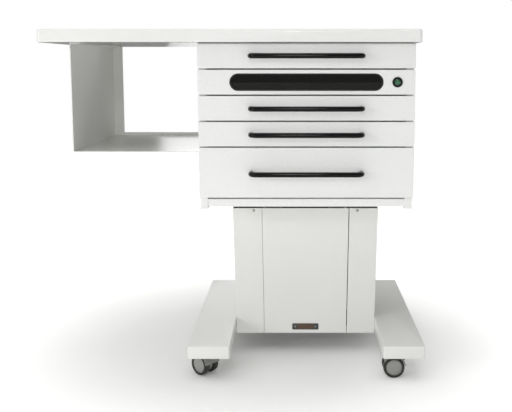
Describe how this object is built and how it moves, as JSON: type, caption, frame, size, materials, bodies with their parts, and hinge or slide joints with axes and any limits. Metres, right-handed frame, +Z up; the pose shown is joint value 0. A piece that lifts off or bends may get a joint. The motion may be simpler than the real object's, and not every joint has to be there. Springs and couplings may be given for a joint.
{
  "type": "mobile dental cabinet",
  "caption": "Mobile dental instrument cabinet: drawers with bow handles, a sterilising drawer with a window, an open side shelf and a column on castered feet.",
  "frame": {"origin": "on the floor, under the middle of the outline", "axes": "+X to the right along the front, +Y to the back, +Z up; the drawers open towards -Y"},
  "size_m": [0.886, 0.554, 0.815],
  "materials": {
    "worktop_laminate": "white gloss high-pressure laminate on board, rounded edges",
    "white_board": "white lacquered board",
    "white_paint": "white powder coat on sheet steel",
    "grey_paint": "dark grey powder coat",
    "zinc_steel": "zinc-plated steel",
    "tray_steel": "light grey powder coat on sheet steel",
    "black_gloss": "black gloss moulded plastic",
    "black_plastic": "black moulded plastic",
    "black_rubber": "black rubber",
    "smoked_acrylic": "dark smoked acrylic",
    "lamp_glass": "quartz glass tube",
    "white_plastic": "white moulded plastic",
    "green_lens": "green translucent lens",
    "bronze_plate": "brown anodised plate, blank",
    "grey_plastic": "dark moulded nylon",
    "wheel_plastic": "grey nylon wheel with a dark tread"
  },
  "bodies": {
    "cabinet": {"worktop": "worktop_laminate", "side_panel_left": "white_board", "side_panel_right": "white_board", "back_panel": "white_board", "bottom_panel": "white_board", "top_rails": "white_board", "side_shelf": "white_paint", "panel_screws": "zinc_steel", "cabinet_runners": "zinc_steel", "column_frame": "grey_paint", "column_collar": "white_paint", "column_front_panel": "white_paint", "column_cover_left": "white_paint", "column_cover_right": "white_paint", "column_back_panel": "white_paint", "foot_left": "white_paint", "foot_right": "white_paint", "foot_end_caps": "white_paint", "foot_bolts": "zinc_steel", "caster_stems": "zinc_steel", "nameplate": "bronze_plate", "power_inlet": "black_plastic"},
    "top_drawer": {"top_drawer_front": "white_board", "top_drawer_tray": "tray_steel", "top_drawer_runners": "zinc_steel", "top_drawer_handle": "black_gloss"},
    "uv_drawer": {"uv_drawer_front": "white_board", "uv_drawer_tray": "tray_steel", "uv_drawer_runners": "zinc_steel", "window_pane": "smoked_acrylic", "window_gasket": "black_rubber", "uv_lamp": "lamp_glass", "lamp_holders": "white_plastic", "lamp_ballast": "tray_steel", "button_bezel": "black_plastic"},
    "middle_drawer": {"middle_drawer_front": "white_board", "middle_drawer_tray": "tray_steel", "middle_drawer_runners": "zinc_steel", "middle_drawer_handle": "black_gloss"},
    "lower_drawer": {"lower_drawer_front": "white_board", "lower_drawer_tray": "tray_steel", "lower_drawer_runners": "zinc_steel", "lower_drawer_handle": "black_gloss"},
    "deep_drawer": {"deep_drawer_front": "white_board", "deep_drawer_tray": "tray_steel", "deep_drawer_runners": "zinc_steel", "deep_drawer_handle": "black_gloss"},
    "button": {"button_cap": "green_lens"},
    "front_left_caster": {"caster_front_left_hood": "grey_plastic", "caster_front_left_axle": "zinc_steel"},
    "front_left_wheels": {"caster_front_left_wheels": "wheel_plastic"},
    "front_right_caster": {"caster_front_right_hood": "grey_plastic", "caster_front_right_axle": "zinc_steel"},
    "front_right_wheels": {"caster_front_right_wheels": "wheel_plastic"},
    "rear_left_caster": {"caster_rear_left_hood": "grey_plastic", "caster_rear_left_axle": "zinc_steel"},
    "rear_left_wheels": {"caster_rear_left_wheels": "wheel_plastic"},
    "rear_right_caster": {"caster_rear_right_hood": "grey_plastic", "caster_rear_right_axle": "zinc_steel"},
    "rear_right_wheels": {"caster_rear_right_wheels": "wheel_plastic"}
  },
  "joints": [
    {"name": "top_drawer_slide", "type": "slide", "parent": "cabinet", "child": "top_drawer", "axis": [0, -1, 0], "range_m": [0, 0.3]},
    {"name": "uv_drawer_slide", "type": "slide", "parent": "cabinet", "child": "uv_drawer", "axis": [0, -1, 0], "range_m": [0, 0.3]},
    {"name": "middle_drawer_slide", "type": "slide", "parent": "cabinet", "child": "middle_drawer", "axis": [0, -1, 0], "range_m": [0, 0.3]},
    {"name": "lower_drawer_slide", "type": "slide", "parent": "cabinet", "child": "lower_drawer", "axis": [0, -1, 0], "range_m": [0, 0.3]},
    {"name": "deep_drawer_slide", "type": "slide", "parent": "cabinet", "child": "deep_drawer", "axis": [0, -1, 0], "range_m": [0, 0.3]},
    {"name": "button_press", "type": "slide", "parent": "uv_drawer", "child": "button", "axis": [0, 1, 0], "range_m": [0, 0.003], "stiffness_N_per_m": 400, "springref_m": -0.001},
    {"name": "front_left_swivel", "type": "hinge", "parent": "cabinet", "child": "front_left_caster", "pos_m": [-0.06025, -0.232, 0.05], "axis": [0, 0, 1], "continuous": true},
    {"name": "front_left_roll", "type": "hinge", "parent": "front_left_caster", "child": "front_left_wheels", "pos_m": [-0.07557, -0.21914, 0.025], "axis": [-0.6428, -0.766, 0], "continuous": true},
    {"name": "front_right_swivel", "type": "hinge", "parent": "cabinet", "child": "front_right_caster", "pos_m": [0.39425, -0.232, 0.05], "axis": [0, 0, 1], "continuous": true},
    {"name": "front_right_roll", "type": "hinge", "parent": "front_right_caster", "child": "front_right_wheels", "pos_m": [0.37425, -0.232, 0.025], "axis": [0, -1, 0], "continuous": true},
    {"name": "rear_left_swivel", "type": "hinge", "parent": "cabinet", "child": "rear_left_caster", "pos_m": [-0.06025, 0.232, 0.05], "axis": [0, 0, 1], "continuous": true},
    {"name": "rear_left_roll", "type": "hinge", "parent": "rear_left_caster", "child": "rear_left_wheels", "pos_m": [-0.07879, 0.23949, 0.025], "axis": [-0.3746, -0.9272, 0], "continuous": true},
    {"name": "rear_right_swivel", "type": "hinge", "parent": "cabinet", "child": "rear_right_caster", "pos_m": [0.39425, 0.232, 0.05], "axis": [0, 0, 1], "continuous": true},
    {"name": "rear_right_roll", "type": "hinge", "parent": "rear_right_caster", "child": "rear_right_wheels", "pos_m": [0.37444, 0.23478, 0.025], "axis": [-0.1392, -0.9903, 0], "continuous": true}
  ]
}
